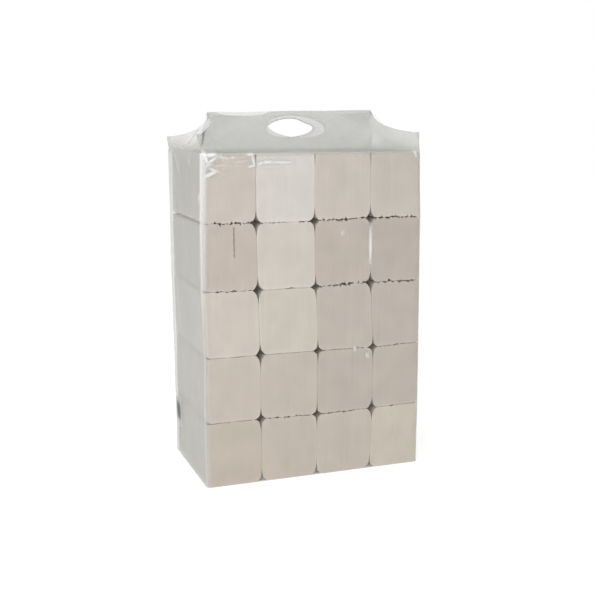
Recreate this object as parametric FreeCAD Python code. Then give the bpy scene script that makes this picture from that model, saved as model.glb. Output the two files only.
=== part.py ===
"""A case of twenty packs of interfolded paper towels in a clear film carrying bag.

The packs stand four across and five high. Each is a stack of towels folded once over,
pressed into a soft block with drawn-in corners and held by a paper band. The bag is one
gusseted tube of film. Under the block it is folded shut and welded flat. Over the block
it comes together like a tent: both side gussets fold inwards, the shoulders are scooped
out, and the ridge is welded, with a grip hole below it through both slopes.

X runs across the case, Y from front to back and Z up. The origin is the middle of the
face that the case stands on. All lengths are in millimetres.
"""

import FreeCAD, Part
import math
import os

from FreeCAD import Vector

# One pack of towels
sheet_length = 230.0  # length of a towel, front to back
folded_width = 115.0  # height of a pack, which is a towel folded once
stack_thickness = 102.5  # two hundred folded towels pressed together
corner_reach_across = 11.5  # how far across the stack each long corner is drawn in
corner_reach_up = 22.0  # how far up the stack each long corner is drawn in
corner_tight_radius = 6.5  # of those corners at the folds; it widens towards the sides
fold_bundles = 5  # bundles of folds along the top and the bottom
fold_notch_width = 1.6  # between two bundles
fold_notch_depth = 1.4
fold_unevenness = 0.3  # share by which neighbouring bundles differ in width
fold_beat = 2.4  # radians from one bundle to the next in that variation

# The paper band round each pack
band_width = 70.0
band_thickness = 0.2
band_clearance = 0.1  # between the band and the stack
band_crease_share = 0.55  # of a corner's reach, where the band creases to turn it

# The block of packs
columns = 4
rows = 5
pack_gap = 0.3  # between neighbouring packs
block_edge_round = 8.0  # upright edges of the block, pressed round by the film

# The film bag
film_thickness = 0.5
film_clearance = 0.3  # between the film and the packs

# The roof of the bag
roof_rise = 69.0  # from the top of the block up to the ridge
ridge_weld_height = 8.0
weld_layers = 4  # front, back and the two folded layers of each gusset
roof_sag = 4.5  # how far the middle of a slope hangs below a straight line
ear_rise = 31.0  # from the top of the block up to the four corner points
ear_lean = 12.0  # how far a corner point leans in over the block

# The shoulders and the gussets
shoulder_width = 50.0  # each shoulder's scoop, measured across the case
shoulder_seal = 3.0  # rim along the scoop, where slope and gusset are sealed together
seal_layers = 3  # thickness of that rim: slope, gusset and the melted film between them
spread_width = 45.0  # end of the roof in which the slopes spread to the corner points
spread_steps = 3  # straight-sided stretches in each spreading end
gusset_creases = 4  # slanting creases in each gusset, from its scoop to its middle fold
folded_slit = 0.1  # width of the valley at the ridge, where the gusset lies folded flat

# The grip hole
grip_width = 102.0
grip_height = 34.0
grip_drop = 26.0  # from the ridge down to the middle of the hole

# The folded base of the bag
base_fold_step = 0.3  # how far the folded flaps stand out below the base
base_weld_width = 14.0
base_weld_groove = 2.0  # between the weld and the flap on each side of it

# How far a cutting tool runs past what it cuts
past = 5.0

# Places that follow from the sizes
column_pitch = stack_thickness + pack_gap
row_pitch = folded_width + pack_gap
block_half_width = (columns * column_pitch - pack_gap) / 2
block_half_depth = sheet_length / 2
block_base = base_fold_step + film_thickness + film_clearance
block_top = block_base + rows * row_pitch - pack_gap
bag_half_width = block_half_width + film_clearance + film_thickness
bag_half_depth = block_half_depth + film_clearance + film_thickness
bag_edge_round = block_edge_round + film_clearance + film_thickness
eaves = block_top + film_clearance + film_thickness
ridge_top = eaves + roof_rise
weld_foot = ridge_top - ridge_weld_height
weld_half = weld_layers * film_thickness / 2
spread_start = bag_half_width - spread_width
shoulder_drop = roof_rise - ear_rise


# Shared shapes


def oval_corner(corner, across, up, tight_radius):
    """Two tangent arcs that round off a corner of an outline drawn at constant Y.

    The vectors across and up run from the corner to the ends of the rounding. The arc
    of the tight radius meets the end that lies across, and a wider one the other end.
    """
    a = across.Length
    b = up.Length
    wide_radius = (a * a + b * b - 2 * b * tight_radius) / (2 * (a - tight_radius))
    across_unit = across / a
    up_unit = up / b
    end_across = corner + across
    end_up = corner + up
    tight_centre = end_across + up_unit * tight_radius
    wide_centre = end_up + across_unit * wide_radius
    outward = (tight_centre - wide_centre).normalize()
    joint = tight_centre + outward * tight_radius
    tight_middle = (outward - up_unit).normalize()
    wide_middle = (outward - across_unit).normalize()
    tight = Part.Arc(end_across, tight_centre + tight_middle * tight_radius, joint)
    wide = Part.Arc(joint, wide_centre + wide_middle * wide_radius, end_up)
    return [tight.toShape(), wide.toShape()]


def upright_block(half_width, half_depth, low, high, radius):
    """A block centred on the Z axis with its four upright edges rounded."""
    corner = Vector(-half_width, -half_depth, low)
    block = Part.makeBox(2 * half_width, 2 * half_depth, high - low, corner)
    upright = [edge for edge in block.Edges if edge.BoundBox.ZLength > edge.Length / 2]
    return block.makeFillet(radius, upright)


def outline_prism(edges, start, end):
    """The solid that a closed outline, drawn at Y = start, sweeps along Y to end."""
    return Part.Face(Part.Wire(edges)).extrude(Vector(0, end - start, 0))


def elliptic_cutter(x, z, reach_across, reach_up):
    """A bar of elliptic section along Y that runs through the whole depth of the bag."""
    start = -bag_half_depth - past
    centre = Vector(x, start, z)
    side = centre + Vector(reach_across, 0, 0)
    crown = centre + Vector(0, 0, reach_up)
    ellipse = Part.Ellipse(side, crown, centre).toShape()
    return outline_prism([ellipse], start, -start)


# Packs of towels and their bands


def folded_side(half_run, height, y):
    """Edges from right to left along the folds, with a notch between the bundles."""
    shares = [1 + fold_unevenness * math.sin(fold_beat * i) for i in range(fold_bundles)]
    half_notch = fold_notch_width / 2
    points = [Vector(half_run, y, height)]
    x = half_run
    for share in shares[:-1]:
        x = x - 2 * half_run * share / sum(shares)
        points.append(Vector(x + half_notch, y, height))
        points.append(Vector(x, y, height - fold_notch_depth))
        points.append(Vector(x - half_notch, y, height))
    points.append(Vector(-half_run, y, height))
    return Part.makePolygon(points).Edges


def towel_stack():
    """A stack of interfolded towels about the origin, as it lies inside its band."""
    inset = band_thickness + band_clearance
    y = -block_half_depth
    half_width = stack_thickness / 2 - inset
    half_height = folded_width / 2 - inset
    across = Vector(inset - corner_reach_across, 0, 0)
    up = Vector(0, 0, inset - corner_reach_up)
    tight_radius = corner_tight_radius - inset
    right_corner = Vector(half_width, y, half_height)
    left_corner = Vector(-half_width, y, half_height)
    right_round = oval_corner(right_corner, across, up, tight_radius)
    left_round = oval_corner(left_corner, -across, up, tight_radius)
    folds = folded_side(half_width + across.x, half_height, y)
    left_side = Part.makeLine(left_corner + up, Vector(-half_width, y, -half_height) - up)
    upper_half = right_round[::-1] + folds + left_round + [left_side]
    lower_half = [
        edge.rotated(Vector(0, y, 0), Vector(0, 1, 0), 180) for edge in upper_half
    ]
    return outline_prism(upper_half + lower_half, y, -y)


def paper_band():
    """The strip of paper, glued to itself, that runs once round a pack."""
    y = -band_width / 2
    half_width = stack_thickness / 2
    half_height = folded_width / 2
    crease_x = half_width - corner_reach_across * band_crease_share
    crease_z = half_height - corner_reach_up * band_crease_share
    points = []
    for side, level in ((1, 1), (-1, 1), (-1, -1), (1, -1)):
        creases = [
            Vector(side * half_width, y, level * crease_z),
            Vector(side * crease_x, y, level * half_height),
        ]
        points += creases[::side * level]
    outside = Part.Face(Part.makePolygon(points + points[:1]))
    inside = outside.makeOffset2D(-band_thickness)
    return outside.cut(inside).extrude(Vector(0, band_width, 0))


def pack_centre(row, column):
    """The middle of a pack, with rows counted from the base and columns from the left."""
    x = -block_half_width + stack_thickness / 2 + (column - 1) * column_pitch
    z = block_base + folded_width / 2 + (row - 1) * row_pitch
    return Vector(x, 0, z)


def packs():
    """Every stack of towels and every band, by node name, each in its place."""
    stack = towel_stack()
    band = paper_band()
    pressed_block = upright_block(
        block_half_width, block_half_depth, block_base, block_top, block_edge_round
    )
    pieces = {}
    for row in range(1, rows + 1):
        for column in range(1, columns + 1):
            place = f"row_{row}_column_{column}"
            centre = pack_centre(row, column)
            placed = stack.translated(centre)
            if column in (1, columns):
                placed = placed.common(pressed_block)
            pieces[f"towel_stack_{place}"] = placed
            pieces[f"paper_band_{place}"] = band.translated(centre)
    return pieces


# Film bag


def roof_section(x, spread, inset):
    """The bag's outline in depth and height at x, drawn in by inset.

    With no spread, two hanging slopes run up to the ridge weld. With full spread, they
    stand up straight and lean in a little, as the corner points do. With an inset it
    outlines the space inside the film, which ends at the foot of the weld.
    """
    corner_y = bag_half_depth - ear_lean * (weld_foot - eaves) / ear_rise
    top_y = (1 - spread) * weld_half + spread * corner_y
    sag = (1 - spread) * roof_sag + film_thickness
    foot = Vector(x, -bag_half_depth, eaves)
    top = Vector(x, -top_y, weld_foot)
    run = (top - foot).normalize()
    inward = Vector(0, run.z, -run.y)
    middle = (foot + top) / 2 + inward * (sag + inset)
    foot = foot + Vector(0, inset, -inset * (1 - run.z) / run.y)
    top = top + inward * inset
    base = Vector(x, foot.y, 0)
    front = [Part.makeLine(base, foot), Part.Arc(foot, middle, top).toShape()]
    head = top
    if not inset:
        head = Vector(x, top.y, ridge_top)
        front.append(Part.makeLine(top, head))
    back = [edge.mirror(Vector(0, 0, 0), Vector(0, 1, 0)) for edge in reversed(front)]
    head_line = Part.makeLine(head, Vector(x, -head.y, head.z))
    base_line = Part.makeLine(Vector(x, -base.y, base.z), base)
    return Part.Wire(front + [head_line] + back + [base_line])


def bag_blank(inset):
    """The solid inside the film's outer face, or its inner face when drawn in by inset.

    The roof is one straight stretch with a spreading end on each side. The packs' block
    is boxed in below it, with its upright edges rounded.
    """
    straight = Part.Face(roof_section(-spread_start, 0, inset)).extrude(
        Vector(2 * spread_start, 0, 0)
    )
    sections = []
    for step in range(spread_steps + 1):
        share = step / spread_steps
        sections.append(roof_section(spread_start + share * spread_width, share**2, inset))
    right_end = Part.makeLoft(sections, True, True)
    left_end = right_end.mirror(Vector(0, 0, 0), Vector(1, 0, 0))
    roof = straight.fuse([right_end, left_end])
    box = upright_block(
        bag_half_width - inset,
        bag_half_depth - inset,
        base_fold_step + inset,
        ridge_top,
        bag_edge_round - inset,
    )
    return box.common(roof)


def half_depth_at(blank, from_end, z):
    """Half the depth of the blank at a distance in from its end and at a height."""
    x = bag_half_width - max(from_end, film_thickness)
    ray = Part.makeLine(Vector(x, 0, z), Vector(x, bag_half_depth + past, z))
    return blank.common(ray).BoundBox.YMax


def valley_levels(blank, inset):
    """Points on each level of the right-hand gusset's valley, from its fold outwards.

    The middle fold climbs straight from the top of the case's side to the foot of the
    ridge weld, where the gusset lies folded flat and reaches in by half the depth of
    the bag. The other points are on the inner edge of the scoop's sealed rim, on the
    scoop itself and beyond the bag.
    """
    climb = weld_foot - eaves
    to_valley = seal_layers * film_thickness - 2 * inset
    outside = -past / 2
    drop = shoulder_drop + shoulder_seal
    top_angle = math.acos(ridge_weld_height / drop)
    steps = [top_angle * step / gusset_creases for step in range(gusset_creases + 1)]
    places = [(eaves, 0, outside)]
    for angle in steps:
        below_ridge = drop * math.cos(angle)
        scoop_share = max(0, 1 - (below_ridge / shoulder_drop) ** 2)
        seal_reach = (shoulder_width + shoulder_seal) * math.sin(angle)
        scoop_reach = shoulder_width * math.sqrt(scoop_share) if scoop_share else outside
        places.append((ridge_top - below_ridge, seal_reach, scoop_reach))
    levels = []
    for height, seal_reach, scoop_reach in places:
        rise_share = (height - eaves) / climb
        z = height - inset * (1 - rise_share)
        fold_reach = rise_share * (bag_half_depth + weld_layers * inset) + inset
        level = [Vector(bag_half_width - fold_reach, 0, z)]
        for reach in (seal_reach, scoop_reach):
            y = max(half_depth_at(blank, reach, z) - to_valley, folded_slit / 2 + inset)
            level.append(Vector(bag_half_width - reach, y, z))
        level.append(Vector(bag_half_width + past, level[-1].y, z))
        levels.append(level)
    return levels


def gusset_valley(blank, inset):
    """The open valley over the right-hand gusset's flat facets, widened by inset."""
    back = valley_levels(blank, inset)
    front = [[Vector(point.x, -point.y, point.z) for point in level] for level in back]
    rim = [level[-1] for level in back] + [level[-1] for level in reversed(front)]
    facets = [
        flat_facet(back[0][1:] + front[0][:0:-1]),
        flat_facet([back[0][1], front[0][1], back[1][0]]),
        flat_facet(back[-1] + front[-1][:0:-1]),
        flat_facet(rim),
    ]
    for side in (back, front):
        facets.append(flat_facet([side[0][1], side[1][1], side[1][0]]))
        for lower, upper in zip(side, side[1:]):
            first = 1 if lower is side[0] else 0
            for i in range(first, len(lower) - 1):
                facets.append(flat_facet([lower[i], lower[i + 1], upper[i + 1]]))
                facets.append(flat_facet([lower[i], upper[i + 1], upper[i]]))
    valley = Part.Solid(Part.Shell(facets))
    if valley.Volume < 0:
        valley.reverse()
    return valley


def flat_facet(corners):
    return Part.Face(Part.makePolygon(corners + corners[:1]))


def base_flaps():
    """The two flaps and the weld between them that close the bag under the block."""
    half_width = bag_half_width - bag_edge_round
    half_depth = bag_half_depth - bag_edge_round
    weld_side = base_weld_width / 2
    flap_side = weld_side + base_weld_groove
    corner_run = half_depth - flap_side
    points = [
        Vector(-half_width, -half_depth, 0),
        Vector(half_width, -half_depth, 0),
        Vector(half_width - corner_run, -flap_side, 0),
        Vector(-half_width + corner_run, -flap_side, 0),
    ]
    outline = Part.makePolygon(points + points[:1])
    thickness = base_fold_step + film_thickness / 2
    front_flap = Part.Face(outline).extrude(Vector(0, 0, thickness))
    back_flap = front_flap.mirror(Vector(0, 0, 0), Vector(0, 1, 0))
    corner = Vector(-half_width, -weld_side, 0)
    weld = Part.makeBox(2 * half_width, base_weld_width, thickness, corner)
    return [front_flap, back_flap, weld]


def film_bag():
    """The whole bag as one thin wall, with its shoulders and its grip hole cut through."""
    blank = bag_blank(0)
    shells = []
    for inset, solid in ((0, blank), (film_thickness, bag_blank(film_thickness))):
        right_valley = gusset_valley(blank, inset)
        left_valley = right_valley.mirror(Vector(0, 0, 0), Vector(1, 0, 0))
        shells.append(solid.cut([right_valley, left_valley]))
    outside, inside = shells
    film = outside.cut(inside)
    scoops = [
        elliptic_cutter(x, ridge_top, shoulder_width, shoulder_drop)
        for x in (-bag_half_width, bag_half_width)
    ]
    grip = elliptic_cutter(0, ridge_top - grip_drop, grip_width / 2, grip_height / 2)
    film = film.cut(scoops + [grip])
    return film.fuse(base_flaps()).removeSplitter()


def main():
    os.makedirs("parts", exist_ok=True)
    pieces = packs()
    pieces["film_bag"] = film_bag()
    for name, shape in pieces.items():
        shape.exportStep(f"parts/{name}.step")


main()
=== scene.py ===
import bmesh
import bpy
import math
import numpy as np
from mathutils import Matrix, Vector, noise


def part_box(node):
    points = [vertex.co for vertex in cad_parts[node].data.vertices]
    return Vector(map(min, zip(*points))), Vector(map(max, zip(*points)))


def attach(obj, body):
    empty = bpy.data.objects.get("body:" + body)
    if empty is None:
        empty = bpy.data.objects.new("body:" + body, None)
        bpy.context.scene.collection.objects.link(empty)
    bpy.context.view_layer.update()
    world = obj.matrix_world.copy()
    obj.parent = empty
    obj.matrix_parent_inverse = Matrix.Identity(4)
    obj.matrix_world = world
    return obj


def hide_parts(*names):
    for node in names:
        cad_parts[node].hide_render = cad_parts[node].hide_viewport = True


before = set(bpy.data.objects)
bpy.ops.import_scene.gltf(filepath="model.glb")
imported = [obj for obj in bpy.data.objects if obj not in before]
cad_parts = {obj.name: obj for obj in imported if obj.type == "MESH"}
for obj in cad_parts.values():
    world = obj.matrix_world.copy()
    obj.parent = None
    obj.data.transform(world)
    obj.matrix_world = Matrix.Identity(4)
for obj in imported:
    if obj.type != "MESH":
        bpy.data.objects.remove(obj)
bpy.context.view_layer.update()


# Towel stacks.
# Each of the twenty packs is about two hundred paper towels, folded once over and pressed
# into a soft block that a paper band holds together. The folds run along its top and bottom
# and the cut ends face forwards.

columns, rows = 4, 5
row_names = range(1, rows + 1)
column_names = range(1, columns + 1)
stack_low, stack_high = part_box("towel_stack_row_3_column_2")
next_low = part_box("towel_stack_row_4_column_3")[0]
stack_width, stack_depth, stack_height = stack_high - stack_low
column_pitch = next_low.x - stack_low.x
row_pitch = next_low.z - stack_low.z
corner_across, corner_up = 0.0108, 0.0255
rim_depth, rim_width = 0.0005, 0.0022  # the drawn-in rim of a cut end
# Painted highlight: the paper is paler along the rim of each cut end.
rim_highlight, rim_highlight_width = 0.07, 0.0016  # the paler line along that rim
swell, swell_start, swell_run = 0.0004, 0.040, 0.030  # outside the band
fold_drop, tooth_drop, fold_reach = 0.0042, 0.0070, 0.007  # of the ragged folds
row_half_width = 2 * stack_width + 0.00125
end_round, end_radius = 0.008, 0.0078  # the block's upright edges, rounded by the film
slit_place, slit_half_width, slit_depth = 0.0088, 0.0007, 0.004
slit_foot, slit_top, slit_break = 0.004, 0.053, 0.0044

# How far the packs have settled away from an even grid, in millimetres, at each crossing of
# the joints: from the base upwards, and from the left-hand edge to the right-hand one.
settled_across = np.array([
    [4.0, 0.9, 1.1, 2.4, -2.6],
    [3.6, -0.4, 2.0, 6.4, -2.6],
    [5.0, -0.5, 3.6, 7.4, -2.8],
    [0.8, -4.0, -1.2, 0.4, -4.0],
    [1.6, -6.8, -3.8, -1.3, -5.3],
    [4.0, -6.4, -3.6, -2.4, -9.0],
]) / 1000
settled_up = np.array([
    [0.0, 0.0, 0.0, 0.0, 0.0],
    [0.0, -0.4, -2.6, -1.8, 0.0],
    [0.0, -0.3, -1.2, -2.8, -0.6],
    [0.0, -1.6, -1.8, 1.0, 0.5],
    [0.0, -1.8, -1.0, 1.0, 0.5],
    [0.0, -0.3, -0.2, -0.2, 0.0],
]) / 1000

# How far each crossing of the joints has closed up: 0 leaves the full four-pointed gap.
closed_up = [
    (0.7, 0.22, 0.22, 0.12, 0.7),
    (0.7, 0.22, 0.35, 0.00, 0.7),
    (0.7, 0.00, 0.32, 0.25, 0.7),
    (0.7, 0.00, 0.30, 0.00, 0.7),
    (0.7, 0.00, 0.18, 0.00, 0.7),
    (0.7, 0.70, 0.70, 0.70, 0.7),
]

# How ragged the folds are along each level joint, from the base upwards, pack by pack.
raggedness = [
    (0.3, 0.3, 0.3, 0.3),
    (0.35, 0.7, 0.7, 0.35),
    (0.3, 0.25, 0.4, 0.5),
    (0.65, 0.35, 1.0, 0.9),
    (1.0, 0.6, 1.1, 1.0),
    (0.5, 0.3, 0.4, 0.4),
]

# The shade of each pack's paper, from the bottom row upwards.
pack_shades = [
    (0.560, 0.497, 0.428), (0.565, 0.503, 0.440), (0.560, 0.503, 0.440), (0.598, 0.543, 0.466),
    (0.590, 0.524, 0.464), (0.570, 0.506, 0.446), (0.525, 0.468, 0.413), (0.530, 0.474, 0.416),
    (0.640, 0.580, 0.515), (0.625, 0.572, 0.498), (0.545, 0.490, 0.430), (0.535, 0.476, 0.422),
    (0.570, 0.502, 0.444), (0.650, 0.605, 0.545), (0.540, 0.476, 0.420), (0.515, 0.458, 0.404),
    (0.618, 0.553, 0.496), (0.695, 0.660, 0.618), (0.612, 0.556, 0.494), (0.590, 0.537, 0.476),
]


def centre_of(row, column):
    """The middle of a pack's place in the even grid."""
    return (
        stack_low.x + stack_width / 2 + (column - 2) * column_pitch,
        0,
        stack_low.z + stack_height / 2 + (row - 3) * row_pitch,
    )


def settle(points, row, column):
    """Moves a pack's points with the crossings of the joints at its four corners."""
    left = stack_low.x + (column - 2) * column_pitch
    foot = stack_low.z + (row - 3) * row_pitch
    across = np.clip((points[:, 0] - left) / stack_width, 0, 1)
    up = np.clip((points[:, 2] - foot) / stack_height, 0, 1)
    to_back = np.clip((points[:, 1] + stack_depth / 2) / stack_depth, 0, 1)
    for axis, table in ((0, settled_across), (2, settled_up)):
        low = table[row - 1, column - 1] * (1 - across) + table[row - 1, column] * across
        high = table[row, column - 1] * (1 - across) + table[row, column] * across
        points[:, axis] += (low * (1 - up) + high * up) * (1 - 0.55 * to_back)
    return points


def points_of(mesh):
    """All the points of a mesh, one to a row."""
    points = np.empty(len(mesh.vertices) * 3)
    mesh.vertices.foreach_get("co", points)
    return points.reshape(-1, 3)


def edges_along(mesh, axis, longer_than):
    """Selects the edges of a mesh in edit mode that run along one axis."""
    for edge in mesh.edges:
        run = edge.verts[1].co - edge.verts[0].co
        edge.select = abs(run[axis]) > 0.999 * run.length and run.length > longer_than
    mesh.select_flush_mode()


def smooth_and_cover(piece, angle, material):
    """Smooths the shading of a piece up to an angle and gives the piece its material."""
    bpy.ops.object.select_all(action="DESELECT")
    piece.select_set(True)
    bpy.context.view_layer.objects.active = piece
    bpy.ops.object.shade_smooth_by_angle(angle=math.radians(angle))
    piece.data.materials.clear()
    piece.data.materials.append(material)


# One stack: a cube squeezed in height, so that round bevels become tall oval corners.
squeeze = corner_across / corner_up
bpy.ops.object.select_all(action="DESELECT")
bpy.ops.mesh.primitive_cube_add(size=1, scale=(stack_width, stack_depth, stack_height * squeeze))
first_stack = bpy.context.object
first_stack.name = "first_stack"
bpy.ops.object.transform_apply(location=True, rotation=True, scale=True)
bpy.ops.object.mode_set(mode="EDIT")
bpy.ops.mesh.select_mode(type="EDGE")
bpy.ops.mesh.select_all(action="DESELECT")
shape = bmesh.from_edit_mesh(first_stack.data)
edges_along(shape, 1, stack_depth / 2)
bpy.ops.mesh.bevel(offset=corner_across, offset_type="OFFSET", segments=6, affect="EDGES")
bpy.ops.mesh.select_all(action="SELECT")
bpy.ops.transform.resize(value=(1, 1, 1 / squeeze))

# The two cut ends get two rings inside their rims, so that the rims can be rounded.
bpy.ops.mesh.select_mode(type="FACE")
bpy.ops.mesh.select_all(action="DESELECT")
shape = bmesh.from_edit_mesh(first_stack.data)
for face in shape.faces:
    face.select = abs(face.normal.y) > 0.9
for ring in (0.0008, 0.0014):
    bpy.ops.mesh.inset(thickness=ring)

# The towels side by side, and a few courses up the stack and along it.
for axis, size, cuts in ((0, stack_width, 80), (2, stack_height, 25), (1, stack_depth, 15)):
    for cut in range(1, cuts + 1):
        point, normal = [0, 0, 0], [0, 0, 0]
        point[axis], normal[axis] = size * (cut / (cuts + 1) - 0.5), 1
        bpy.ops.mesh.select_all(action="SELECT")
        bpy.ops.mesh.bisect(plane_co=point, plane_no=normal)
bpy.ops.object.mode_set(mode="OBJECT")

points = points_of(first_stack.data)
from_side = stack_width / 2 - np.abs(points[:, 0])
from_top = stack_height / 2 - np.abs(points[:, 2])
reach = np.hypot(
    np.maximum(0, corner_across - from_side) / corner_across,
    np.maximum(0, corner_up - from_top) / corner_up,
)
from_rim = np.minimum(np.minimum(from_side, from_top), (1 - reach) * corner_across)
on_cut_end = np.abs(points[:, 1]) > stack_depth / 2 - 0.0001
drawn_in = rim_depth * np.maximum(0, 1 - from_rim / rim_width) ** 2
points[:, 1] -= np.where(on_cut_end, np.sign(points[:, 1]) * drawn_in, 0)

# Outside its band the stack swells until it meets its neighbours.
free = np.clip((np.abs(points[:, 1]) - swell_start) / swell_run, 0, 1)
points[:, 0] += np.sign(points[:, 0]) * free * swell * (from_side < 0.004)
points[:, 2] += np.sign(points[:, 2]) * free * swell * (from_top < 0.004)
first_stack.data.vertices.foreach_set("co", points.ravel())
# Painted highlight: the paper's colour is made paler near the rims of the cut ends.
painted_rim_highlight = 1 + rim_highlight * np.exp(-np.maximum(from_rim, 0) / rim_highlight_width)

stacks = {}
for row in row_names:
    for column in column_names:
        stack = first_stack.copy()
        stack.data = first_stack.data.copy()
        stack.name = f"stack_{row}_{column}"
        bpy.context.collection.objects.link(stack)
        points = points_of(stack.data)
        seed = 17.3 * row + 5.1 * column
        # Each corner is pressed squarer as far as its crossing has closed up.
        u = np.maximum(0, np.abs(points[:, 0]) - stack_width / 2 + corner_across) / corner_across
        v = np.maximum(0, np.abs(points[:, 2]) - stack_height / 2 + corner_up) / corner_up
        widest = np.maximum(np.maximum(u, v), 1e-6)
        for side in (0, 1):
            for top in (0, 1):
                corner = (u > 0) & (v > 0)
                corner &= ((points[:, 0] > 0) == side) & ((points[:, 2] > 0) == top)
                pressed = closed_up[row - 1 + top][column - 1 + side]
                stretch = np.where(corner, pressed * (np.hypot(u, v) / widest - 1), 0)
                points[:, 0] += np.sign(points[:, 0]) * u * stretch * corner_across
                points[:, 2] += np.sign(points[:, 2]) * v * stretch * corner_up
        for i, (x, y, z) in enumerate(points):
            # Every few towels stand a little lower or higher than their neighbours.
            level = row if z > 0 else row - 1
            ragged = raggedness[level][column - 1]
            share = max(0, 1 - (stack_height / 2 - abs(z)) / fold_reach)
            if share:
                fine = noise.noise(Vector((x * 330, y * 6, seed + level * 3)))
                coarse = noise.noise(Vector((x * 90, y * 4, seed - level * 7)))
                tooth = noise.noise(Vector((x * 620, seed, level * 5.3)))
                low_by = fold_drop * max(0, fine + 0.6 * coarse + 0.05)
                low_by += tooth_drop * max(0, tooth - 0.24)
                points[i, 2] -= math.copysign(low_by * ragged * share, z)
            # The sides and the ends are soft and not quite flat.
            soft = noise.noise(Vector((x * 14, y * 9, z * 14 + seed)))
            if abs(x) > stack_width / 2 - 0.0004:
                points[i, 0] -= math.copysign(0.0002 * (0.5 + soft), x)
            if abs(y) > stack_depth / 2 - 0.002:
                layer = noise.noise(Vector((x * 500, z * 3, seed)))
                points[i, 1] -= math.copysign(0.0004 + 0.0005 * soft + 0.00015 * layer, y)
        # In one pack the towels have parted in a broken upright slit.
        if (row, column) == (4, 1):
            in_slit = np.abs(points[:, 0] - slit_place) < slit_half_width
            in_slit &= points[:, 1] < -stack_depth / 2 + 0.003
            in_slit &= (points[:, 2] > slit_foot) & (points[:, 2] < slit_top)
            in_slit &= np.round(points[:, 2] / slit_break) % 2 > 0
            points[:, 1] += np.where(in_slit, slit_depth, 0)
        points += centre_of(row, column)
        # The packs at both ends of a row are rounded off by the film round the block.
        past_side = np.maximum(0, np.abs(points[:, 0]) - row_half_width + end_round)
        past_front = np.maximum(0, np.abs(points[:, 1]) - stack_depth / 2 + end_round)
        past = np.hypot(past_side, past_front)
        kept = np.where(past > end_radius, end_radius / np.maximum(past, 1e-6), 1)
        points[:, 0] -= np.sign(points[:, 0]) * past_side * (1 - kept)
        points[:, 1] -= np.sign(points[:, 1]) * past_front * (1 - kept)
        points = settle(points, row, column)
        stack.data.vertices.foreach_set("co", points.ravel())
        # Each point's colour is the pack's shade of paper times the painted rim highlight.
        shade = stack.data.attributes.new("shade", "FLOAT_COLOR", "POINT")
        tone = pack_shades[(row - 1) * columns + column - 1]
        tones = np.ones((len(points), 4))
        tones[:, :3] = np.array(tone) * painted_rim_highlight[:, None]
        shade.data.foreach_set("color", tones.ravel())
        stack.data.update()
        stacks[row, column] = stack

# Paper: a shared pattern of fibres, and the thin edges of the towels on the cut ends.
fibres = bpy.data.node_groups.new("paper_fibres", "ShaderNodeTree")
fibres.interface.new_socket("Size", in_out="INPUT", socket_type="NodeSocketFloat")
fibres.interface.new_socket("Tone", in_out="OUTPUT", socket_type="NodeSocketFloat")
fibres.interface.new_socket("Relief", in_out="OUTPUT", socket_type="NodeSocketFloat")
group_in = fibres.nodes.new("NodeGroupInput")
group_out = fibres.nodes.new("NodeGroupOutput")
place = fibres.nodes.new("ShaderNodeTexCoord")
grown = fibres.nodes.new("ShaderNodeVectorMath")
grown.operation = "SCALE"
fibre = fibres.nodes.new("ShaderNodeTexNoise")
fibre.inputs["Scale"].default_value = 900
fibre.inputs["Detail"].default_value = 4
cloud = fibres.nodes.new("ShaderNodeTexNoise")
cloud.inputs["Scale"].default_value = 26
cloud.inputs["Detail"].default_value = 3
both = fibres.nodes.new("ShaderNodeMix")
both.inputs["Factor"].default_value = 0.72
fibres.links.new(place.outputs["Object"], grown.inputs[0])
fibres.links.new(group_in.outputs["Size"], grown.inputs["Scale"])
fibres.links.new(grown.outputs["Vector"], fibre.inputs["Vector"])
fibres.links.new(grown.outputs["Vector"], cloud.inputs["Vector"])
fibres.links.new(fibre.outputs["Fac"], both.inputs["A"])
fibres.links.new(cloud.outputs["Fac"], both.inputs["B"])
fibres.links.new(both.outputs["Result"], group_out.inputs["Tone"])
fibres.links.new(fibre.outputs["Fac"], group_out.inputs["Relief"])


def map_range(nodes, low, high, to_low=0.0, to_high=1.0):
    """Adds a node that carries values from one range over to another."""
    node = nodes.new("ShaderNodeMapRange")
    limits = {"From Min": low, "From Max": high, "To Min": to_low, "To Max": to_high}
    for socket, value in limits.items():
        node.inputs[socket].default_value = value
    return node


towel_paper = bpy.data.materials.new("towel_paper")
towel_paper.use_nodes = True
nodes, links = towel_paper.node_tree.nodes, towel_paper.node_tree.links
paper_shader = nodes["Principled BSDF"]
paper_shader.inputs["Roughness"].default_value = 0.92
paper_shader.inputs["Specular IOR Level"].default_value = 0.15
shade_node = nodes.new("ShaderNodeAttribute")
shade_node.attribute_name = "shade"
pattern = nodes.new("ShaderNodeGroup")
pattern.node_tree = fibres
pattern.inputs["Size"].default_value = 1.0
coordinates = nodes.new("ShaderNodeTexCoord")
stretched = nodes.new("ShaderNodeMapping")
stretched.inputs["Scale"].default_value = (1400, 30, 9)
layers = nodes.new("ShaderNodeTexNoise")
layers.inputs["Scale"].default_value = 1
layers.inputs["Detail"].default_value = 2
tone_range = map_range(nodes, 0.3, 0.7, 0.93, 1.06)
layer_range = map_range(nodes, 0.3, 0.7, 0.95, 1.04)
both_tones = nodes.new("ShaderNodeMath")
both_tones.operation = "MULTIPLY"
coloured = nodes.new("ShaderNodeVectorMath")
coloured.operation = "SCALE"
relief = nodes.new("ShaderNodeMath")
relief.operation = "MULTIPLY_ADD"
relief.inputs[1].default_value = 0.5
bump = nodes.new("ShaderNodeBump")
bump.inputs["Strength"].default_value = 0.25
bump.inputs["Distance"].default_value = 0.0004
links.new(coordinates.outputs["Object"], stretched.inputs["Vector"])
links.new(stretched.outputs["Vector"], layers.inputs["Vector"])
links.new(pattern.outputs["Tone"], tone_range.inputs["Value"])
links.new(layers.outputs["Fac"], layer_range.inputs["Value"])
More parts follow.
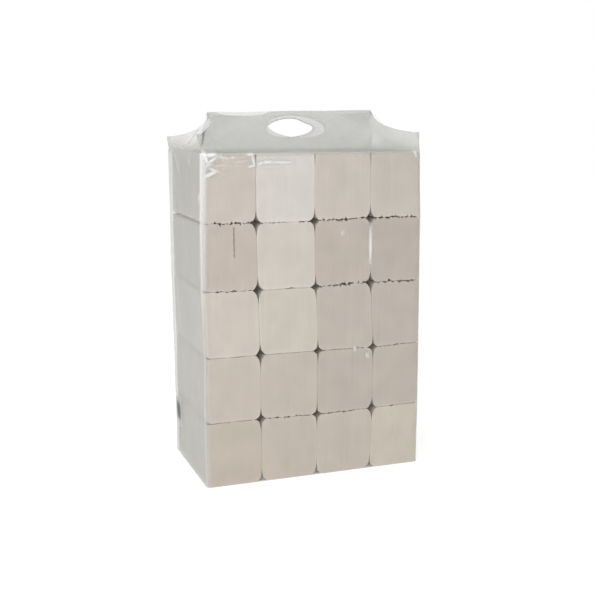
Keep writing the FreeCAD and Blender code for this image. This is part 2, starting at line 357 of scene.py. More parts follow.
links.new(tone_range.outputs["Result"], both_tones.inputs[0])
links.new(layer_range.outputs["Result"], both_tones.inputs[1])
links.new(shade_node.outputs["Color"], coloured.inputs[0])
links.new(both_tones.outputs["Value"], coloured.inputs["Scale"])
links.new(coloured.outputs["Vector"], paper_shader.inputs["Base Color"])
links.new(pattern.outputs["Relief"], relief.inputs[0])
links.new(layers.outputs["Fac"], relief.inputs[2])
links.new(relief.outputs["Value"], bump.inputs["Height"])
links.new(bump.outputs["Normal"], paper_shader.inputs["Normal"])

for (row, column), stack in stacks.items():
    smooth_and_cover(stack, 50, towel_paper)
    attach(stack, "root")
    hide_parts(f"towel_stack_row_{row}_column_{column}")
bpy.data.objects.remove(first_stack)


# Paper bands.
# A strip of white kraft paper goes once round the middle of each pack, glued to itself.
# It is creased where it turns the pack's soft corners.

band_low, band_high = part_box("paper_band_row_3_column_2")
band_size = band_high - band_low
band_paper_thickness = 0.0002

bpy.ops.object.select_all(action="DESELECT")
bpy.ops.mesh.primitive_cube_add(size=1, scale=(band_size.x, band_size.y, band_size.z * squeeze))
first_band = bpy.context.object
bpy.ops.object.transform_apply(location=True, rotation=True, scale=True)
bpy.ops.object.mode_set(mode="EDIT")
bpy.ops.mesh.select_mode(type="FACE")
bpy.ops.mesh.select_all(action="DESELECT")
shape = bmesh.from_edit_mesh(first_band.data)
for face in shape.faces:
    face.select = abs(face.normal.y) > 0.9
bpy.ops.mesh.delete(type="FACE")
bpy.ops.mesh.select_mode(type="EDGE")
shape = bmesh.from_edit_mesh(first_band.data)
edges_along(shape, 1, band_size.y / 2)
bpy.ops.mesh.bevel(offset=corner_across, offset_type="OFFSET", segments=5, affect="EDGES")
bpy.ops.mesh.select_all(action="SELECT")
bpy.ops.transform.resize(value=(1, 1, 1 / squeeze))
for axis, longer_than, cuts in ((0, 0.05, 15), (2, 0.05, 11), (1, 0.05, 7)):
    bpy.ops.mesh.select_all(action="DESELECT")
    shape = bmesh.from_edit_mesh(first_band.data)
    edges_along(shape, axis, longer_than)
    bpy.ops.mesh.subdivide(number_cuts=cuts)
bpy.ops.mesh.select_all(action="SELECT")
bpy.ops.mesh.normals_make_consistent(inside=False)
bpy.ops.object.mode_set(mode="OBJECT")
wall = first_band.modifiers.new("wall", "SOLIDIFY")
wall.thickness = band_paper_thickness
wall.offset = -1
bpy.ops.object.modifier_apply(modifier="wall")

band_paper = bpy.data.materials.new("band_paper")
band_paper.use_nodes = True
nodes, links = band_paper.node_tree.nodes, band_paper.node_tree.links
band_shader = nodes["Principled BSDF"]
band_shader.inputs["Roughness"].default_value = 0.75
band_shader.inputs["Specular IOR Level"].default_value = 0.25
pattern = nodes.new("ShaderNodeGroup")
pattern.node_tree = fibres
pattern.inputs["Size"].default_value = 0.8
shades = nodes.new("ShaderNodeValToRGB")
shades.color_ramp.elements[0].position = 0.3
shades.color_ramp.elements[0].color = (0.52, 0.48, 0.42, 1)
shades.color_ramp.elements[1].position = 0.7
shades.color_ramp.elements[1].color = (0.62, 0.58, 0.52, 1)
bump = nodes.new("ShaderNodeBump")
bump.inputs["Strength"].default_value = 0.15
bump.inputs["Distance"].default_value = 0.0003
links.new(pattern.outputs["Tone"], shades.inputs["Fac"])
links.new(shades.outputs["Color"], band_shader.inputs["Base Color"])
links.new(pattern.outputs["Relief"], bump.inputs["Height"])
links.new(bump.outputs["Normal"], band_shader.inputs["Normal"])

for row in row_names:
    for column in column_names:
        band = first_band.copy()
        band.data = first_band.data.copy()
        band.name = f"band_{row}_{column}"
        bpy.context.collection.objects.link(band)
        points = points_of(band.data)
        points += centre_of(row, column)
        points = settle(points, row, column)
        band.data.vertices.foreach_set("co", points.ravel())
        band.data.update()
        smooth_and_cover(band, 35, band_paper)
        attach(band, "root")
        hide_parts(f"paper_band_row_{row}_column_{column}")
bpy.data.objects.remove(first_band)


# Film bag.
# One gusseted tube of polyethylene film, shut and welded under the block and at the ridge.
# Its shoulders are scooped out and sealed, and a grip hole is punched through both slopes.

bag_half_width, bag_half_depth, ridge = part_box("film_bag")[1]
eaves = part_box("towel_stack_row_5_column_1")[1].z + 0.0011
film_thickness = 0.00015
base_level = 0.0006
edge_round, edge_steps = 0.0088, 4
weld_foot, weld_half = ridge - 0.008, 0.001
ear_rise, ear_lean = 0.031, 0.012
scoop_width, scoop_drop = 0.050, ridge - eaves - ear_rise
spread_width = 0.045
roof_sag = 0.005
fold_dip, fold_flop = 0.010, 0.72  # of the gussets, and of the left-hand one's middle fold
front_grip_size, front_grip_place = (0.0523, 0.0189), (-0.0030, ridge - 0.0270)
back_grip_size, back_grip_place = (0.0448, 0.0166), (0.0082, ridge - 0.0292)
roof_lean, ear_droop = 0.007, 0.013
front_cut_lower, curl_by = 0.0062, 0.007
slack_out, slack_back = 0.0034, 0.0020  # film standing off at the back left
dark_patch_place, dark_patch_size = (0.084, 0.086), (0.020, 0.023)
base_weld_width, flap_start, flap_level = 0.014, 0.009, 0.00035
front_columns, side_columns, wall_rows, roof_rows = 86, 46, 116, 26
roof_step = 0.01  # height of a row while the roof is drawn up, before it is shaped
fine_mesh_side, fine_mesh_foot = -0.048, 0.536
near_wall = 0.003  # a point this near to a wall's plane belongs to the wall

bpy.ops.object.select_all(action="DESELECT")
bpy.ops.mesh.primitive_cube_add(
    size=1,
    location=(0, 0, (eaves + base_level) / 2),
    scale=(2 * bag_half_width, 2 * bag_half_depth, eaves - base_level),
)
bag = bpy.context.object
bag.name = "clear_bag"
bpy.ops.object.transform_apply(location=True, rotation=True, scale=True)
bpy.ops.object.mode_set(mode="EDIT")
bpy.ops.mesh.select_mode(type="FACE")
bpy.ops.mesh.select_all(action="DESELECT")
shape = bmesh.from_edit_mesh(bag.data)
for face in shape.faces:
    face.select = face.normal.z > 0.9
bpy.ops.mesh.delete(type="FACE")
bpy.ops.mesh.select_mode(type="EDGE")
bpy.ops.mesh.select_all(action="DESELECT")
shape = bmesh.from_edit_mesh(bag.data)
edges_along(shape, 2, 0.3)
bpy.ops.mesh.bevel(offset=edge_round, offset_type="OFFSET", segments=edge_steps, affect="EDGES")
for axis, longer_than, cuts in (
    (0, 0.3, front_columns - 1), (1, 0.15, side_columns - 1), (2, 0.3, wall_rows - 1),
):
    bpy.ops.mesh.select_all(action="DESELECT")
    shape = bmesh.from_edit_mesh(bag.data)
    edges_along(shape, axis, longer_than)
    bpy.ops.mesh.subdivide(number_cuts=cuts)

# A finer mesh for the wrinkles of the top left corner, then the roof, row by row.
bpy.ops.mesh.select_mode(type="FACE")
bpy.ops.mesh.select_all(action="DESELECT")
shape = bmesh.from_edit_mesh(bag.data)
for face in shape.faces:
    middle = face.calc_center_median()
    in_corner = middle.x < fine_mesh_side and middle.z > fine_mesh_foot
    face.select = face.normal.y < -0.9 and in_corner
bpy.ops.mesh.subdivide(number_cuts=3)
bpy.ops.mesh.select_mode(type="EDGE")
bpy.ops.mesh.select_all(action="DESELECT")
shape = bmesh.from_edit_mesh(bag.data)
for edge in shape.edges:
    edge.select = min(edge.verts[0].co.z, edge.verts[1].co.z) > eaves - 0.0001
shape.select_flush_mode()
for _ in range(roof_rows):
    bpy.ops.mesh.extrude_region_move(TRANSFORM_OT_translate={"value": (0, 0, roof_step)})
bpy.ops.object.mode_set(mode="OBJECT")


def slope_depth(x, z):
    """Half the bag's depth at a place across the case and a height above the eaves."""
    from_end = np.abs(x) - (bag_half_width - spread_width)
    spread = np.clip(from_end / spread_width, 0, 1) ** 1.4
    corner_depth = bag_half_depth - ear_lean * (weld_foot - eaves) / ear_rise
    top_depth = (1 - spread) * weld_half + spread * corner_depth
    sag = (1 - spread) * (roof_sag - 0.0005) + 0.0005
    rise = weld_foot - eaves
    run = bag_half_depth - top_depth
    length = np.hypot(rise, run)
    # The share of the slope at which its sagging line has this height, closed in on in rounds.
    share = np.clip((z - eaves) / rise, 0, 1)
    target = share
    for _ in range(12):
        height = share - 4 * share * (1 - share) * sag * run / length / rise
        share = np.clip(share + (target - height), 0, 1)
    return bag_half_depth - run * share - 4 * share * (1 - share) * sag * rise / length


def column_index(from_end, pitch):
    """Counts the columns of the mesh from a corner of the bag, the corner's middle being 0."""
    arc = [edge_round * (1 - math.sin(math.radians(45 - 22.5 * i))) for i in range(3)]
    straight = 2 + np.round((from_end - edge_round) / pitch)
    return np.where(
        from_end > edge_round - 0.0005, straight, np.where(from_end > (arc[0] + arc[1]) / 2, 1, 0)
    )


# Every point keeps its place on the plain box as x0, y0 and z0, and moves from there.
points = points_of(bag.data)
x0, y0, z0 = points.copy().T
roof = z0 > eaves + roof_step / 2
up = np.clip(np.round((z0 - eaves) / roof_step) / roof_rows, 0, 1)
from_side = bag_half_width - np.abs(x0)
from_front = bag_half_depth - np.abs(y0)
is_slope = roof & (from_front <= from_side + 1e-5)
is_gusset = roof & ~is_slope
front_pitch = (2 * bag_half_width - 2 * edge_round) / front_columns
side_pitch = (2 * bag_half_depth - 2 * edge_round) / side_columns
index = np.where(
    is_slope, column_index(from_side, front_pitch), column_index(from_front, side_pitch)
)
last_scoop, last_fold = 11, 2 + side_columns / 2  # columns where scoop and gusset end
turn = np.radians(90) * np.clip(index / last_scoop, 0, 1)
top_in = np.where(index <= last_scoop, scoop_width * np.sin(turn), from_side)
scooped = scoop_drop * np.abs(np.cos(turn)) ** 0.88
top_height = np.where(index <= last_scoop, ridge - scooped, ridge)

# The two slopes climb from the eaves to the scoops and the ridge.
slope_in = from_side * (1 - up) + top_in * up
slope_x = np.sign(x0) * (bag_half_width - slope_in)
slope_z = eaves + up * (top_height - eaves)
slope_y = np.sign(y0) * (slope_depth(slope_x, slope_z) - from_front * (1 - up))

# The two gussets fold inwards from the sides and are sealed to the slopes at the scoops.
past_scoop = np.clip((index - last_scoop) / (last_fold - last_scoop), 0, 1)
in_weld = index > last_scoop
top_in = np.where(in_weld, scoop_width + past_scoop * (bag_half_depth - scoop_width), top_in)
top_height = np.where(in_weld, weld_foot + 0.004 * (1 - past_scoop), top_height)
top_y = slope_depth(bag_half_width - top_in, top_height)
top_y = np.where(in_weld, 0.0004 * (1 - past_scoop), top_y)
gusset_x = np.sign(x0) * (bag_half_width - from_side * (1 - up) - top_in * up**1.6)
gusset_y = y0 * (1 - up) + np.sign(y0) * top_y * up
dip = np.sin(np.pi * up) * np.sin(np.pi * np.clip(from_front / bag_half_depth, 0, 1))
gusset_z = eaves + up * (top_height - eaves) - fold_dip * dip

# The fold of the left-hand gusset has flopped over towards the front slope.
flop = (1 - (y0 / bag_half_depth) ** 2) * np.clip(up / 0.4, 0, 1) * (1 - up**4) * (x0 < 0)
gusset_y -= fold_flop * flop * slope_depth(gusset_x, gusset_z)

for part, place_x, place_y, place_z in (
    (is_slope, slope_x, slope_y, slope_z), (is_gusset, gusset_x, gusset_y, gusset_z),
):
    points[part, 0] = place_x[part]
    points[part, 1] = place_y[part]
    points[part, 2] = place_z[part]

# The grip hole: the nearest points of the mesh move onto its oval rim. In the back slope the
# slack film hangs over the upper right-hand part of it.
bag.data.vertices.foreach_set("co", points.ravel())
in_front = y0 < 0
grip_x = np.where(in_front, front_grip_place[0], back_grip_place[0])
grip_z = np.where(in_front, front_grip_place[1], back_grip_place[1])
grip_across = (points[:, 0] - grip_x) / np.where(in_front, front_grip_size[0], back_grip_size[0])
grip_up = (points[:, 2] - grip_z) / np.where(in_front, front_grip_size[1], back_grip_size[1])
hanging = np.exp(-(((np.arctan2(grip_up, grip_across) - 0.84) / 0.75) ** 2))
oval = np.hypot(grip_across, grip_up) / np.where(in_front, 1, 1.04 - 0.36 * hanging)


def move_to_rim(i):
    """Moves one point along its slope onto the rim of the grip hole."""
    points[i, 0] = grip_x[i] + (points[i, 0] - grip_x[i]) / oval[i]
    points[i, 2] = grip_z[i] + (points[i, 2] - grip_z[i]) / oval[i]
    points[i, 1] = np.sign(y0[i]) * slope_depth(points[i, 0], points[i, 2])
    oval[i] = 1


nearest = set()
for edge in bag.data.edges:
    a, b = edge.vertices
    if is_slope[a] and is_slope[b] and (oval[a] < 1) != (oval[b] < 1):
        nearest.add(a if abs(oval[a] - 1) < abs(oval[b] - 1) else b)
for i in nearest:
    move_to_rim(i)
for face in bag.data.polygons:
    corners = [i for i in face.vertices if is_slope[i]]
    if corners and min(oval[corners]) < 0.999 and max(oval[corners]) > 1.001:
        for i in corners:
            if oval[i] < 0.999:
                move_to_rim(i)
in_hole = is_slope & (oval < 1.001)

# Creases: lines along which the film stands up, with a painted highlight along each crest.
on_wall = {
    "front": y0 < -bag_half_depth + near_wall,
    "back": y0 > bag_half_depth - near_wall,
    "left": x0 < -bag_half_width + near_wall,
    "right": x0 > bag_half_width - near_wall,
}
standing = np.zeros(len(points))
painted_highlight = np.zeros(len(points))


def crease(wall, start, end, height, width, highlight):
    """Raises a tapering film ridge with a painted highlight between two places on a wall, in
    millimetres.
    """
    across = 0 if wall in ("front", "back") else 1
    start, end = np.array(start) / 1000, np.array(end) / 1000
    place = np.stack([points[:, across], points[:, 2]], axis=1)
    run = end - start
    share = np.clip(((place - start) @ run) / (run @ run), 0, 1)
    away = np.linalg.norm(place - start - share[:, None] * run, axis=1)
    profile = np.exp(-((away / (width / 1000)) ** 2)) * np.sin(np.pi * (0.12 + 0.76 * share))
    standing[:] += np.where(on_wall[wall], profile * height / 1000, 0)
    painted_highlight[:] = np.maximum(painted_highlight, np.where(on_wall[wall], profile * highlight, 0))


# Wrinkles that fan out from the top left corner of the front and run along its top edge, and a
# few short ones lower down where the film spans the joints.
for start, end, height, width, highlight in (
    ((-202, 579), (-196, 562), 1.4, 3.0, 1.0),
    ((-199, 574), (-183, 576), 1.2, 3.0, 1.0),
    ((-198, 561), (-180, 572), 1.2, 2.4, 1.0),
    ((-201, 556), (-188, 562), 0.9, 2.0, 0.7),
    ((-203, 540), (-180, 549), 1.4, 3.0, 1.0),
    ((-194, 554), (-176, 548), 0.9, 2.2, 0.8),
    ((-186, 575), (-157, 569), 0.9, 2.0, 0.5),
    ((-159, 570), (-145, 572), 0.8, 1.8, 0.45),
    ((-126, 574), (-116, 576), 0.8, 2.4, 0.5),
    ((-117, 576), (-112, 556), 1.1, 2.2, 0.8),
    ((-124, 555), (-112, 558), 0.8, 2.0, 0.7),
    ((-105, 559.5), (-99, 562), 1.0, 2.2, 0.9),
    ((-96, 562.5), (-82, 563.5), 1.2, 2.4, 1.0),
    ((-84, 562.5), (-44, 562), 0.8, 2.0, 0.7),
    ((-98, 555), (-60, 556), 0.5, 2.0, 0.25),
    ((-196, 552), (-186, 566), 0.3, 9.0, 0.22),
    ((-147, 563), (-124, 565), 0.6, 1.6, 0.35),
    ((-196, 556), (-150, 560), 0.7, 3.0, 0.2),
    ((-190, 536), (-140, 552), 0.6, 3.5, 0.12),
    ((-172, 577), (-166, 562), 0.6, 1.5, 0.3),
    ((190, 579), (197, 568), 1.0, 2.0, 0.7),
    ((102, 452), (101, 382), 0.5, 1.8, 0.9),
    ((48, 444), (48, 434), 0.5, 2.6, 0.6),
    ((97, 220), (99, 210), 0.5, 3.4, 0.45),
    ((73, 234), (73, 223), 0.5, 2.4, 0.5),
    ((140, 102), (145, 92), 0.5, 3.0, 0.28),
):
    crease("front", start, end, height, width, highlight)

# Slack film on the sides and the back hangs in long slanting folds.
for wall, start, end, height, width, highlight in (
    ("left", (100, 585), (78, 520), 2.0, 5.0, 0.10),
    ("left", (72, 582), (48, 548), 1.6, 4.0, 0.12),
    ("left", (50, 570), (34, 530), 1.2, 4.0, 0.08),
    ("left", (-30, 568), (-36, 556), 1.0, 3.0, 0.25),
    ("left", (-104, 512), (-96, 498), 1.0, 3.0, 0.35),
    ("left", (90, 420), (60, 250), 1.6, 9.0, 0.05),
    ("left", (90, 109), (84, 63), 1.0, 6.0, 0.0),
    ("right", (96, 575), (60, 520), 2.0, 5.0, 0.12),
    ("right", (-90, 576), (-70, 530), 1.6, 4.0, 0.12),
    ("right", (30, 572), (0, 500), 1.2, 6.0, 0.06),
    ("right", (-60, 300), (-20, 120), 1.4, 9.0, 0.05),
    ("back", (-198, 577), (-150, 545), 1.6, 4.0, 0.25),
    ("back", (-196, 560), (-170, 520), 1.4, 4.0, 0.20),
    ("back", (198, 577), (160, 540), 1.6, 4.0, 0.25),
    ("back", (196, 562), (182, 515), 1.2, 4.0, 0.18),
    ("back", (-120, 575), (-60, 566), 1.0, 3.0, 0.20),
    ("back", (40, 570), (120, 574), 1.0, 3.0, 0.20),
    ("back", (-188, 470), (-176, 330), 0.8, 5.0, 0.08),
    ("back", (186, 300), (172, 120), 0.8, 5.0, 0.08),
    ("back", (-60, 556), (20, 548), 0.6, 3.0, 0.25),
    ("back", (98, 330), (99, 262), 0.5, 2.0, 0.45),
):
    crease(wall, start, end, height, width, highlight)

# Between its creases the film waves a little, most on the slack sides and the roof.
long_waves = np.array([noise.noise(Vector(p) * 11) for p in points])
short_waves = np.array([noise.noise(Vector(p * (34, 34, 15))) for p in points])
on_side = on_wall["left"] | on_wall["right"]
standing += np.where(on_wall["front"], 0.0003 * (long_waves + short_waves), 0)
standing += np.where(on_side, 0.0010 * long_waves + 0.0001 * short_waves, 0)
standing += np.where(on_wall["back"], 0.0006 * (long_waves + short_waves), 0)
standing = np.where(roof | (z0 < 0.002), 0, standing)
outward = np.stack([
    np.where(on_side, np.sign(x0), 0),
    np.where(on_wall["front"] | on_wall["back"], np.sign(y0), 0),
    np.zeros(len(points)),
], axis=1)
points += outward * standing[:, None]
roof_wave = 0.0024 * long_waves + 0.0014 * short_waves
points[:, 1] += np.where(is_slope, np.sign(y0) * roof_wave * np.sin(np.pi * up) ** 2, 0)
points[:, 2] += np.where(is_gusset, roof_wave * np.sin(np.pi * up), 0)

# The roof leans a little to the left, its ridge climbs to the right, and one ear droops.
climbed = np.clip((points[:, 2] - eaves) / (ridge - eaves), 0, 1)
across = points[:, 0] / bag_half_width
points[:, 0] -= roof_lean * climbed
droop = ear_droop * np.clip(-across - 0.72, 0, 0.28) / 0.28 * (points[:, 1] > 0)
points[:, 2] += np.where(roof, climbed * (0.0031 * across + 0.0015 - droop), 0)

# The welded edge is a little wavy, and the front layer was cut lower on the left.
near_ridge = np.clip((points[:, 2] - weld_foot) / (ridge - weld_foot), 0, 1) * is_slope
wave = 0.0012 * np.exp(-(((points[:, 0] + 0.095) / 0.035) ** 2))
wave += 0.0006 * np.exp(-(((points[:, 0] - 0.060) / 0.025) ** 2))
lower = front_cut_lower * np.exp(-(((points[:, 0] + 0.097) / 0.046) ** 6)) * (y0 < 0)
points[:, 2] -= near_ridge * (wave + lower)

# The front edge of the left-hand scoop is drawn inwards and curls.
curl = np.array([-0.164, -0.035, 0.628])
near_curl = np.exp(-np.sum(((points - curl) / (0.014, 0.045, 0.014)) ** 2, axis=1)) * roof
points[:, 0] += curl_by * near_curl

# The film follows the ends of the rows, where the packs have settled inwards.
levels = stack_low.z + row_pitch * (np.arange(rows + 1) - 2)
left_pull = np.interp(points[:, 2], [*levels, ridge], [*settled_across[:, 0], 0])
right_pull = np.interp(points[:, 2], [*levels, ridge], [*settled_across[:, columns], 0])
outer = np.clip((np.abs(points[:, 0]) - 0.1) / (bag_half_width - 0.1), 0, 1)
to_back = np.clip((points[:, 1] + bag_half_depth) / (2 * bag_half_depth), 0, 1)
pull = np.where(points[:, 0] < 0, left_pull, right_pull) * outer
points[:, 0] += pull * (1 - np.where(points[:, 0] < 0, 1.0, 0.55) * to_back)

# Slack film stands off the upright edge at the back left.
at_edge = np.exp(-((from_side / 0.012) ** 2) - ((from_front / 0.014) ** 2)) * (x0 < 0) * (y0 > 0)
at_edge *= np.clip((z0 - 0.10) / 0.25, 0, 1)
points[:, 0] -= slack_out * at_edge
points[:, 1] += slack_back * at_edge
bag.data.vertices.foreach_set("co", points.ravel())

# The upright edges of the bag get a painted highlight, strongest at the front left and towards
# the top.
round_edge = from_side - from_front
on_edge = (np.minimum(from_front, from_side) < 0.0035) & ~roof
along_edge = np.exp(-(((round_edge + 0.0005) / 0.0085) ** 2)) * on_edge
edge_highlight_peak = 0.14 + 0.56 * np.clip((z0 - 0.28) / (eaves - 0.28), 0, 1)
painted_edge_highlight = np.where((x0 < 0) & (y0 < 0), edge_highlight_peak, 0.12) * along_edge
painted_highlight = np.maximum(painted_highlight, painted_edge_highlight)
highlight_and_weld_white = bag.data.attributes.new("highlight_and_weld_white", "FLOAT", "POINT")
highlight_and_weld_white.data.foreach_set("value", np.clip(painted_highlight, 0, 1))

# How milky the film is: least where it is pressed onto the cut ends, most round the grip hole
# and at the eaves, and thinner in the left-hand shoulder of the back slope.
rim = np.exp(-(((oval - 1.02) / 0.045) ** 2)) * is_slope
foot = np.clip(1 - up, 0, 1) ** 2
on_ear = np.exp(-((from_side / 0.018) ** 2)) * (y0 > 0)
milk_of_gusset = 0.03 + 0.43 * foot**2
milk_of_slope = np.where(y0 < 0, 0.34, 0.24) + 0.08 * foot + 0.16 * on_ear
shaded_upper_right = np.clip((points[:, 2] - grip_z) / 0.012 + 0.7 * grip_across, 0, 1)
# The rim of the grip hole is doubled film, milkier; towards its upper right it turns grey,
# painted shade on the strip of film that bends back above the hole.
milk_of_slope += (0.16 + 0.24 * shaded_upper_right) * rim
milk_of_slope += 0.10 * np.clip((x0 - 0.12) / 0.04, 0, 1) * (y0 < 0)
in_shoulder = np.clip((-x0 - 0.14) / 0.03, 0, 1) * (y0 > 0)
milk_of_slope -= 0.15 * in_shoulder * (1 - foot) * (1 - on_ear)
milk = np.where(is_gusset, milk_of_gusset, milk_of_slope)
milk = np.where(roof, milk, 0.38 + 0.12 * np.exp((z0 - eaves) / 0.03))

# The joint under the top row shows through on the left, and low down near the back left edge
# the film has a dark, matt patch.
on_left = on_wall["left"] & ~roof
joint = np.exp(-(((z0 - levels[4]) / 0.0030) ** 2)) * on_left * (y0 < 0.095)
patch_y, patch_z = (y0 - dark_patch_place[0]) / dark_patch_size[0], (z0 - dark_patch_place[1]) / dark_patch_size[1]
dark_patch = np.exp(-(patch_y**4) - patch_z**4) * on_left
milk = milk * (1 - 0.5 * joint) + (1.5 - milk) * dark_patch
pressed_on = (from_front < 0.0035) & (z0 < eaves - 0.004)
milk = np.where(pressed_on, np.where(y0 < 0, 0.03, 0.08), milk)
milky = bag.data.attributes.new("milky", "FLOAT", "POINT")
milky.data.foreach_set("value", milk)
bag.data.update()

bpy.ops.object.select_all(action="DESELECT")
bag.select_set(True)
bpy.context.view_layer.objects.active = bag
bpy.ops.object.mode_set(mode="EDIT")
bpy.ops.mesh.select_mode(type="FACE")
bpy.ops.mesh.select_all(action="DESELECT")
shape = bmesh.from_edit_mesh(bag.data)
for face in shape.faces:
    face.select = all(in_hole[v.index] for v in face.verts)
bpy.ops.mesh.delete(type="FACE")
bpy.ops.mesh.select_mode(type="VERT")
bpy.ops.mesh.select_all(action="SELECT")
bpy.ops.mesh.remove_doubles(threshold=0.0001)
bpy.ops.mesh.normals_make_consistent(inside=False)
bpy.ops.object.mode_set(mode="OBJECT")
wall = bag.modifiers.new("wall", "SOLIDIFY")
wall.thickness = film_thickness
wall.offset = -1
bpy.ops.object.modifier_apply(modifier="wall")
bpy.ops.object.shade_smooth_by_angle(angle=math.radians(35))

# Under the block the two flaps of the bag are folded in and welded along the middle.
flap_depth = bag_half_depth - edge_round - flap_start
base_parts = [bag]
for name, depth, centre_y, taper in (
    ("front_flap", flap_depth, -flap_start - flap_depth / 2, -1),
    ("back_flap", flap_depth, flap_start + flap_depth / 2, 1),
    ("base_weld", base_weld_width, 0, 0),
):
    bpy.ops.object.select_all(action="DESELECT")
    bpy.ops.mesh.primitive_grid_add(
        x_subdivisions=48, y_subdivisions=10, size=1, location=(0, centre_y, flap_level)
    )
    flap = bpy.context.object
    flap.name = name
    bpy.ops.transform.resize(value=(2 * (bag_half_width - edge_round), depth, 1))
    bpy.ops.object.transform_apply(location=True, rotation=True, scale=True)
    for vertex in flap.data.vertices:
        inward = 0.5 - taper * (vertex.co.y - centre_y) / depth
        vertex.co.x *= 1 - (flap_depth * inward / (bag_half_width - edge_round) if taper else 0)
        vertex.co.z += 0.00012 * noise.noise(Vector((vertex.co.x * 40, vertex.co.y * 40, taper)))
    whiter = flap.data.attributes.new("highlight_and_weld_white", "FLOAT", "POINT")
    whiter.data.foreach_set("value", [0.0 if taper else 0.15] * len(flap.data.vertices))
    thicker = flap.data.attributes.new("milky", "FLOAT", "POINT")
    thicker.data.foreach_set("value", [0.34] * len(flap.data.vertices))
    wall = flap.modifiers.new("wall", "SOLIDIFY")
    wall.thickness = film_thickness
    bpy.ops.object.modifier_apply(modifier="wall")
    base_parts.append(flap)
bpy.ops.object.select_all(action="DESELECT")
for base_part in base_parts:
    base_part.select_set(True)
bpy.context.view_layer.objects.active = bag
bpy.ops.object.join()

# The film hides what is behind it as far as it is milky. From 0.55 upwards it is greyer, as
# thick film is and as painted shade at the upper right of the grip hole's rim, and above 1 it
# is the dark, matt patch. A painted highlight whitens it along creases and upright edges, and
# the weld under the block is a little whiter.
bag_film = bpy.data.materials.new("bag_film")
bag_film.use_nodes = True
nodes, links = bag_film.node_tree.nodes, bag_film.node_tree.links
film_shader = nodes["Principled BSDF"]
film_shader.inputs["IOR"].default_value = 1.5
milky_node = nodes.new("ShaderNodeAttribute")
milky_node.attribute_name = "milky"
highlight_and_weld_node = nodes.new("ShaderNodeAttribute")
highlight_and_weld_node.attribute_name = "highlight_and_weld_white"
coordinates = nodes.new("ShaderNodeTexCoord")
long_folds = nodes.new("ShaderNodeMapping")
long_folds.inputs["Scale"].default_value = (34, 34, 13)
long_folds.inputs["Rotation"].default_value = (0.3, 0.25, 0)
folds = nodes.new("ShaderNodeTexNoise")
folds.inputs["Scale"].default_value = 1
folds.inputs["Detail"].default_value = 4
folds.inputs["Distortion"].default_value = 0.6
grain = nodes.new("ShaderNodeTexNoise")
grain.inputs["Scale"].default_value = 420
grain.inputs["Detail"].default_value = 3
milk_range = map_range(nodes, 0.3, 0.7, 0.95, 1.04)
thickness = nodes.new("ShaderNodeMath")
thickness.operation = "MULTIPLY"
broken = map_range(nodes, 0.35, 0.55, 0.82, 1.0)
crest_highlight = nodes.new("ShaderNodeMath")
crest_highlight.operation = "MULTIPLY"
crest_highlight.use_clamp = True
highlight_share = nodes.new("ShaderNodeMath")
highlight_share.operation = "MULTIPLY"
highlight_share.use_clamp = True
highlight_share.inputs[1].default_value = 4.0
alpha = nodes.new("ShaderNodeMath")
alpha.operation = "ADD"
alpha.use_clamp = True
# Grey where the film is thick, and as painted shade at the upper right of the grip hole's rim.
grey_share = map_range(nodes, 0.55, 0.80)
greyer = nodes.new("ShaderNodeMix")
greyer.data_type = "RGBA"
greyer.inputs["A"].default_value = (0.715, 0.720, 0.683, 1)
greyer.inputs["B"].default_value = (0.45, 0.45, 0.42, 1)
dark_patch_share = map_range(nodes, 1.0, 1.5)
darker = nodes.new("ShaderNodeMix")
darker.data_type = "RGBA"
darker.inputs["B"].default_value = (0.17, 0.17, 0.162, 1)
# Painted highlight: along crests and edges the colour is mixed towards white.
highlight_mix = nodes.new("ShaderNodeMix")
highlight_mix.data_type = "RGBA"
highlight_mix.inputs["B"].default_value = (0.95, 0.95, 0.94, 1)
gloss = map_range(nodes, 0.0, 1.0, 0.28, 0.40)
matt = nodes.new("ShaderNodeMath")
matt.operation = "ADD"
matt.use_clamp = True
bump = nodes.new("ShaderNodeBump")
bump.inputs["Strength"].default_value = 0.06
bump.inputs["Distance"].default_value = 0.002
links.new(coordinates.outputs["Object"], long_folds.inputs["Vector"])
links.new(long_folds.outputs["Vector"], folds.inputs["Vector"])
links.new(coordinates.outputs["Object"], grain.inputs["Vector"])
links.new(folds.outputs["Fac"], milk_range.inputs["Value"])
links.new(milky_node.outputs["Fac"], thickness.inputs[0])
links.new(milk_range.outputs["Result"], thickness.inputs[1])
links.new(grain.outputs["Fac"], broken.inputs["Value"])
links.new(highlight_and_weld_node.outputs["Fac"], crest_highlight.inputs[0])
links.new(broken.outputs["Result"], crest_highlight.inputs[1])
links.new(thickness.outputs["Value"], alpha.inputs[0])
links.new(crest_highlight.outputs["Value"], alpha.inputs[1])
links.new(alpha.outputs["Value"], film_shader.inputs["Alpha"])
links.new(crest_highlight.outputs["Value"], highlight_share.inputs[0])
links.new(highlight_share.outputs["Value"], highlight_mix.inputs["Factor"])
links.new(milky_node.outputs["Fac"], grey_share.inputs["Value"])
links.new(grey_share.outputs["Result"], greyer.inputs["Factor"])
links.new(greyer.outputs["Result"], darker.inputs["A"])
links.new(milky_node.outputs["Fac"], dark_patch_share.inputs["Value"])
links.new(dark_patch_share.outputs["Result"], darker.inputs["Factor"])
links.new(darker.outputs["Result"], highlight_mix.inputs["A"])
links.new(highlight_mix.outputs["Result"], film_shader.inputs["Base Color"])
links.new(folds.outputs["Fac"], gloss.inputs["Value"])
links.new(gloss.outputs["Result"], matt.inputs[0])
links.new(dark_patch_share.outputs["Result"], matt.inputs[1])
links.new(matt.outputs["Value"], film_shader.inputs["Roughness"])
links.new(folds.outputs["Fac"], bump.inputs["Height"])
links.new(bump.outputs["Normal"], film_shader.inputs["Normal"])
bag.data.materials.clear()
bag.data.materials.append(bag_film)
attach(bag, "root")
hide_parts("film_bag")


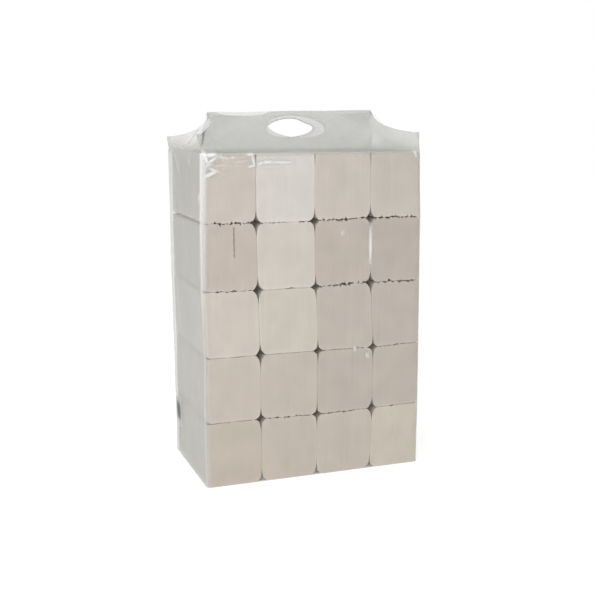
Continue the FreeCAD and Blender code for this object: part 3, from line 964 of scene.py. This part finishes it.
# Floor, light and camera.
# A plain pale floor that runs out of sight, an even white surround, and one soft lamp at the
# front left. The camera stands at the front left too, and looks a little downwards.

bpy.ops.object.select_all(action="DESELECT")
bpy.ops.mesh.primitive_plane_add(size=12, location=(0, 2, -0.0001))
floor = bpy.context.object
floor.name = "floor"
bpy.ops.object.transform_apply(location=True, rotation=True, scale=True)
floor_paint = bpy.data.materials.new("floor_paint")
floor_paint.use_nodes = True
nodes, links = floor_paint.node_tree.nodes, floor_paint.node_tree.links
floor_shader = nodes["Principled BSDF"]
floor_shader.inputs["Base Color"].default_value = (0.92, 0.92, 0.92, 1)
floor_shader.inputs["Roughness"].default_value = 0.9
floor_shader.inputs["Emission Color"].default_value = (1, 1, 1, 1)
floor_shader.inputs["Emission Strength"].default_value = 0.48
floor.data.materials.append(floor_paint)

world = bpy.data.worlds.new("surround")
bpy.context.scene.world = world
world.use_nodes = True
nodes, links = world.node_tree.nodes, world.node_tree.links
surround = nodes["Background"]
surround.inputs["Color"].default_value = (1, 1, 1, 1)
seen = nodes.new("ShaderNodeLightPath")
brightness = map_range(nodes, 0.0, 1.0, 0.60, 1.0)
links.new(seen.outputs["Is Camera Ray"], brightness.inputs["Value"])
links.new(brightness.outputs["Result"], surround.inputs["Strength"])

lamp_data = bpy.data.lights.new("front lamp", "AREA")
lamp_data.size = 1.2
lamp_data.energy = 17
lamp = bpy.data.objects.new("front lamp", lamp_data)
bpy.context.collection.objects.link(lamp)
lamp.location = (-1.5, -1.7, 1.9)
lamp.rotation_euler = (Vector((0, 0, 0.3)) - lamp.location).to_track_quat("-Z", "Y").to_euler()

camera_data = bpy.data.cameras.new("camera")
camera_data.lens = 57.74
camera_data.sensor_width = 36
camera = bpy.data.objects.new("camera", camera_data)
bpy.context.collection.objects.link(camera)
camera.location = (-0.5841, -1.6485, 0.6277)
camera.rotation_euler = (math.radians(90 - 10.37), 0, math.radians(-19.65))
bpy.context.scene.camera = camera
bpy.context.scene.view_settings.view_transform = "Standard"
